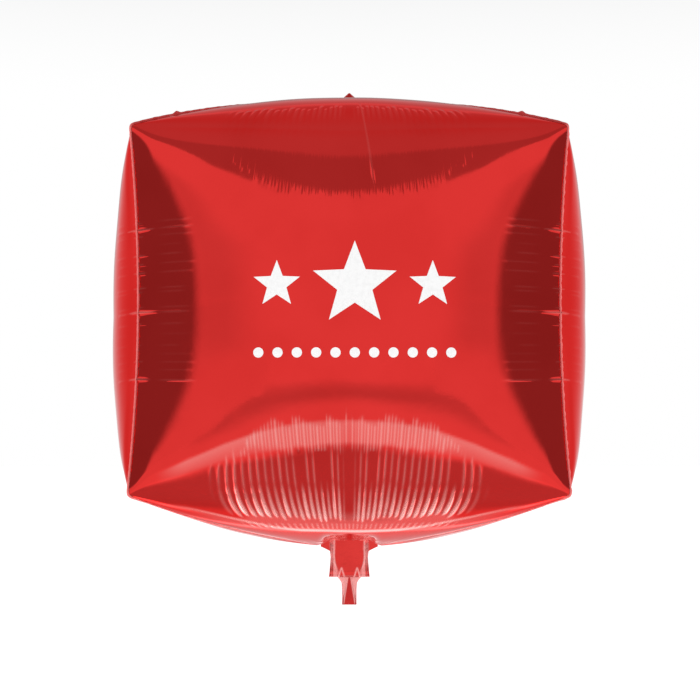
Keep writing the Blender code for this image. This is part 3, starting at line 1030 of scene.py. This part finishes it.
@dataclass
class StarPrint:
    """White print on the front: three stars over a row of dots."""

    film: bpy.types.Object
    middle: Pair = (0.0045, 0.018)
    stars: tuple[Triple, ...] = ((0.0, 0.0, 0.036), (-0.064, 0.0, 0.020), (0.064, 0.0, 0.020))
    star_inner: float = 0.42
    dots: int = 11
    dot_radius: float = 0.0042
    dot_step: float = 0.0158
    dot_drop: float = 0.056
    proud: float = 0.0003

    def add_shape(self, bm: bmesh.types.BMesh, x: float, z: float, radius: float, star: bool) -> None:
        """Add one flat star or dot.

        Args:
            bm: mesh that it goes into.
            x: its middle, across.
            z: its middle, up.
            radius: its outer radius.
            star: whether it is a star or a dot.
        """
        points = 10 if star else 32
        made = bmesh.ops.create_circle(
            bm, cap_ends=True, cap_tris=True, segments=points, radius=radius)["verts"]
        rim = [vert for vert in made if vert.co.length > radius / 2]
        rim.sort(key=lambda vert: math.atan2(vert.co.y, vert.co.x))
        for index, vert in enumerate(rim):
            reach = radius * self.star_inner if star and index % 2 else radius
            turn = math.pi / 2 + index * 2 * math.pi / points
            vert.co = (reach * math.cos(turn), reach * math.sin(turn), 0.0)
        for vert in made:
            vert.co = (self.middle[0] + x + vert.co.x, 0.0, self.middle[1] + z + vert.co.y)
        edges = list({edge for vert in made for edge in vert.link_edges})
        bmesh.ops.subdivide_edges(bm, edges=edges, cuts=11 if star else 3, use_grid_fill=True)

    def build(self) -> bpy.types.Object:
        """Model and dress the print.

        Returns:
            The print, on the front film.
        """
        source = bmesh.new()
        source.from_mesh(self.film.data)
        tree = BVHTree.FromBMesh(source)
        bm = bmesh.new()
        for x, z, radius in self.stars:
            self.add_shape(bm, x, z, radius, True)
        for index in range(self.dots):
            x = (index - (self.dots - 1) / 2) * self.dot_step
            self.add_shape(bm, x, -self.dot_drop, self.dot_radius, False)
        for vert in bm.verts:
            hit, _, _, _ = tree.ray_cast(Vector((vert.co.x, -0.5, vert.co.z)), Vector((0, 1, 0)))
            vert.co.y = hit.y - self.proud
        bmesh.ops.recalc_face_normals(bm, faces=bm.faces[:])
        bmesh.ops.reverse_faces(bm, faces=[face for face in bm.faces if face.normal.y > 0])
        source.free()
        return finish_piece("star_print", smooth_mesh(bm, "star_print"), INK.material(), "film")


def smooth_mesh(bm: bmesh.types.BMesh, name: str) -> bpy.types.Mesh:
    """Make a smooth-shaded mesh of a bmesh, which is freed."""
    mesh = bpy.data.meshes.new(name)
    bm.to_mesh(mesh)
    bm.free()
    mesh.shade_smooth()
    return mesh


def finish_piece(name: str, mesh: bpy.types.Mesh, material: bpy.types.Material, slot: str,
                 *nodes: str) -> bpy.types.Object:
    """Put a mesh into the scene as one piece of the balloon.

    Args:
        name: name of the piece.
        mesh: its mesh, in place.
        material: its finish.
        slot: the record's material slot; not used.
        nodes: CAD nodes that it stands for.

    Returns:
        The piece.
    """
    mesh.materials.append(material)
    piece = bpy.data.objects.new(name, mesh)
    bpy.context.scene.collection.objects.link(piece)
    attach(piece, "root")
    if nodes:
        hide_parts(*nodes)
    LOG.info("%s: %d faces", name, len(mesh.polygons))
    return piece


@dataclass
class Studio:
    """White studio: floor whose glow paints a pool of light and patches of shade, dark flags at the
    sides, ceiling and camera.

    The ceiling's edges are heights of a unit direction. Glows and dims are shares of the white
    surround's brightness that are added or taken away.
    """

    ceiling_edge: float = 0.53
    ceiling_arch: float = 0.09
    ceiling_sides: float = 0.25
    back_edge: float = 0.30
    back_sides: float = 0.30
    ceiling_dim: float = 0.34
    front_dim: float = 0.15
    behind_dim: float = 0.42
    stripe_share: float = 0.6
    pool_half: Pair = (0.35, 0.65)
    pool_front: float = 0.55
    pool_far: float = 1.72
    pool_bow: float = 0.45
    pool_glow: Triple = (0.08, 0.2, 2.8)
    floor_glow: float = 0.15
    outer_glow: float = 0.33
    line_glow: float = 1.6
    horizon_glow: float = 0.12
    inside_painted_shade: float = 1.15
    behind_painted_shade: float = 0.6
    side_dim: float = 0.67
    veil_dim: float = 0.17
    back_dim: float = 0.13
    above_dim: float = 0.40
    floor_height: float = -1.0
    floor_half: float = 40.0
    floor_albedo: float = 0.70
    flag_radius: float = 5.0
    flag_half: float = 2.6
    flag_start: float = 12.0
    flag_end: float = 180.0
    camera_place: Triple = (0.0, -1.5229, -0.1038)
    camera_pitch: float = 0.0518
    lens: float = 82.34
    shift: float = 0.001

    def build(self) -> None:
        """Build everything round the balloon."""
        self.build_camera()
        self.build_world()
        self.build_floor()
        for side in (-1, 1):
            self.build_flag(side)
        bpy.context.scene.view_settings.view_transform = "Standard"

    def build_camera(self) -> None:
        """Camera at the photograph's viewing angle."""
        data = bpy.data.cameras.new("camera")
        data.lens = self.lens
        data.sensor_width = 36.0
        data.shift_x = self.shift
        camera = bpy.data.objects.new("camera", data)
        camera.location = self.camera_place
        camera.rotation_euler = (math.pi / 2 + self.camera_pitch, 0.0, 0.0)
        bpy.context.scene.collection.objects.link(camera)
        bpy.context.scene.camera = camera

    def build_world(self) -> None:
        """Soft white surround with a dimmer ceiling."""
        world = bpy.data.worlds.new("studio")
        world.use_nodes = True
        tree = ShaderTree(world.node_tree)
        x, y, z = tree.split(tree.node("ShaderNodeTexCoord", out="Generated"))
        wide = abs(x)
        front = self.ceiling_edge + self.ceiling_arch * (1 - wide.rise(0.0, 0.12))
        front = front + self.ceiling_sides * wide.rise(0.21, 0.35)
        back = self.back_edge + self.back_sides * wide.rise(0.3, 0.6)
        edge = front + y.rise(0.0, 0.3) * (back - front)
        ceiling = (z - edge).rise(-0.02, 0.02)
        stripe = z.window(0.62, 0.65, 0.68, 0.71) * y.rise(0.6, 0.7)
        behind = y.rise(0.5, 0.8) * (1 - wide.rise(0.2, 0.6)) * z.window(0.20, 0.45, 0.55, 0.66)
        dim = self.ceiling_dim + self.front_dim * (1 - y.rise(-0.46, -0.37))
        light = 1.0 - dim * ceiling * (1 - self.stripe_share * stripe)
        light = light - self.behind_dim * behind * (1 - ceiling)
        sky = tree.node("ShaderNodeBackground", None, {"Color": colour(1, 1, 1), "Strength": light})
        tree.node("ShaderNodeOutputWorld", None, {"Surface": sky})
        bpy.context.scene.world = world

    def glow(self, name: str, build: Callable[[ShaderTree, Value], Value],
             albedo: float) -> bpy.types.Material:
        """Pale matt material that also glows.

        Args:
            name: name of the material.
            build: makes the brightness of the glow from the tree and the place.
            albedo: share of the light that it sends back.

        Returns:
            The material.
        """
        made, tree = new_material(name)
        bright = build(tree, tree.node("ShaderNodeTexCoord", out="Object"))
        tree.surface({
            "Base Color": colour(albedo, albedo, albedo), "Roughness": 0.9, "Specular IOR Level": 0.0,
            "Emission Color": bright, "Emission Strength": 1.0})
        return made

    def build_floor(self) -> None:
        """Pale floor whose glow paints the pool of light below the front of the balloon, and painted shade
        under and behind it.
        """

        def pool(tree: ShaderTree, place: Value) -> Value:
            x, y, _ = tree.split(place)
            wide, front = abs(x), 0.0 - y
            inner = (x / self.pool_half[0]) ** 4.0 + ((y + self.pool_front) / self.pool_half[1]) ** 4.0
            outside = (wide - 0.70 - 0.25 * front.rise(0.8, 1.6)).rise(0.0, 0.15)
            far_edge = self.pool_far + self.pool_bow * wide.rise(0.0, 0.5)
            middle = (1 - wide.rise(0.24, 0.34)) * y.rise(-0.3, 0.0)
            lit = inner.rise(0.8, 1.3) * (1 - outside) * (1 - (front - far_edge).rise(0.0, 0.25))
            lit = lit * (1 - middle) * (1 - y.rise(0.5, 0.8))
            bow = y - 0.84 - 4.0 * x * x
            line = bow.window(-0.12, -0.04, 0.04, 0.12) * (1 - wide.rise(0.3, 0.5))
            away = front - 0.28 * (x * x).at_most(9.0)
            beside = wide.rise(1.6, 3.2)
            far = away.rise(3.7, 6.5).at_least(beside)
            near = 1 - away.rise(2.6, 3.8)
            # Painted shade: inside takes the floor's glow down under and in front of the balloon, and under
            # takes it down farther behind.
            inside = (1 - wide.rise(0.26, 0.36)) * y.window(-1.25, -0.95, 0.25, 0.50)
            under = y.window(1.0, 1.8, 2.8, 3.6) * (1 - beside)
            level = (far + near).at_most(1.0) - self.inside_painted_shade * inside - self.behind_painted_shade * under
            first, second, third = self.pool_glow
            strength = first + second * y.rise(-1.05, -0.75) + third * y.rise(-0.6, 0.0)
            return (self.floor_glow + self.outer_glow * level + lit * strength
                    + self.line_glow * line + self.horizon_glow * y.rise(3.0, 3.6))

        bm = bmesh.new()
        bmesh.ops.create_grid(bm, x_segments=1, y_segments=1, size=self.floor_half)
        floor = self.set_up("floor", bm, self.glow("pale_floor_painted_glow", pool, self.floor_albedo))
        floor.location.z = self.floor_height

    def set_up(self, name: str, bm: bmesh.types.BMesh, material: bpy.types.Material) -> bpy.types.Object:
        """Stand a piece of the studio in the scene."""
        mesh = smooth_mesh(bm, name)
        mesh.materials.append(material)
        piece = bpy.data.objects.new(name, mesh)
        bpy.context.scene.collection.objects.link(piece)
        return piece

    def build_flag(self, side: int) -> None:
        """Dark curved flag at one side, seen only in reflections."""

        def fade(tree: ShaderTree, place: Value) -> Value:
            x, y, z = tree.split(place)
            turn = tree.node("ShaderNodeMath", {"operation": "ARCTAN2"}, {0: abs(x), 1: 0.0 - y})
            degrees = turn / math.radians(1.0)
            side_flag = degrees.window(36.5, 43.5, 84.0, 90.0) * (1 - abs(z).rise(1.9, 2.6))
            veil = degrees.window(13.0, 28.0, 34.0, 44.0) * z.window(-0.2, 0.3, 0.95, 1.5)
            back = degrees.rise(98.0, 125.0)
            above = degrees.rise(150.0, 175.0) * z.rise(-0.1, 0.8)
            light = 1.0 - self.side_dim * side_flag - self.veil_dim * veil
            return light - self.back_dim * back - self.above_dim * above

        low, high = math.radians(self.flag_start), math.radians(self.flag_end)
        bm = bmesh.new()
        x, y = self.flag_radius * math.sin(low) * side, -self.flag_radius * math.cos(low)
        ends = [bm.verts.new((x, y, height)) for height in (-self.flag_half, self.flag_half)]
        bmesh.ops.spin(bm, geom=[*ends, bm.edges.new(ends)], cent=(0, 0, 0), axis=(0, 0, 1),
                       angle=side * (high - low), steps=40)
        name = "flag_left" if side < 0 else "flag_right"
        flag = self.set_up(name, bm, self.glow("dark_flag", fade, 0.0))
        flag.visible_camera = flag.visible_diffuse = flag.visible_shadow = False


def sleeves(shape: EnvelopeShape) -> list[PressedSleeve]:
    """The filling neck, the valve tube and the top tab."""
    neck, tube, tab = shape.pole_bottom, shape.pole_bottom - 0.0278, shape.crown
    return [
        PressedSleeve("filling_neck", "neck", "neck", NECK_FOIL, Fold.COLLAR, (
            (neck + 0.0094, 0.0085, 0.0085), (neck + 0.0089, 0.0100, 0.0088), (neck + 0.0086, 0.0140, 0.0036),
            (neck + 0.0082, 0.0178, 0.0036), (neck + 0.0072, 0.0208, 0.0036), (neck + 0.0058, 0.0238, 0.0036),
            (neck + 0.0044, 0.0266, 0.0036), (neck + 0.0010, 0.0272, 0.0036), (neck - 0.0004, 0.0240, 0.0036),
            (neck - 0.0032, 0.0184, 0.0036), (neck - 0.0090, 0.0177, 0.0036), (neck - 0.0225, 0.0187, 0.0036),
            (neck - 0.0275, 0.0193, 0.0026))),
        PressedSleeve("valve_tube_film", "valve_tube", "neck", TUBE_FOIL, Fold.TUBE, (
            (tube, 0.0112, 0.0016), (tube - 0.0028, 0.0088, 0.0022), (tube - 0.0055, 0.0073, 0.0022),
            (tube - 0.0120, 0.0069, 0.0022), (tube - 0.0257, 0.0069, 0.0022)),
                      mouth_deep=0.010, around=96, rows=48),
        PressedSleeve("top_tab_film", "top_tab", "seam", TAB_FOIL, Fold.TAB, (
            (tab + 0.0165, 0.0007, 0.0007), (tab + 0.0118, 0.0060, 0.0020), (tab + 0.0100, 0.0062, 0.0022),
            (tab + 0.0010, 0.0074, 0.0024), (tab + 0.0000, 0.0095, 0.0085), (tab - 0.0020, 0.0095, 0.0095)),
                      around=64, rows=32),
    ]


def main() -> None:
    """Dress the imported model."""
    logging.basicConfig(level=logging.INFO, format="%(message)s")
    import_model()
    Studio().build()
    shape = EnvelopeShape()
    panels = {face: FoilPanel(shape, face).build() for face in Face}
    for corner in Corner:
        SeamFlange(shape, corner).build()
    for sleeve in sleeves(shape):
        sleeve.build()
    StarPrint(panels[Face.FRONT]).build()


if __name__ == "__main__":
    main()
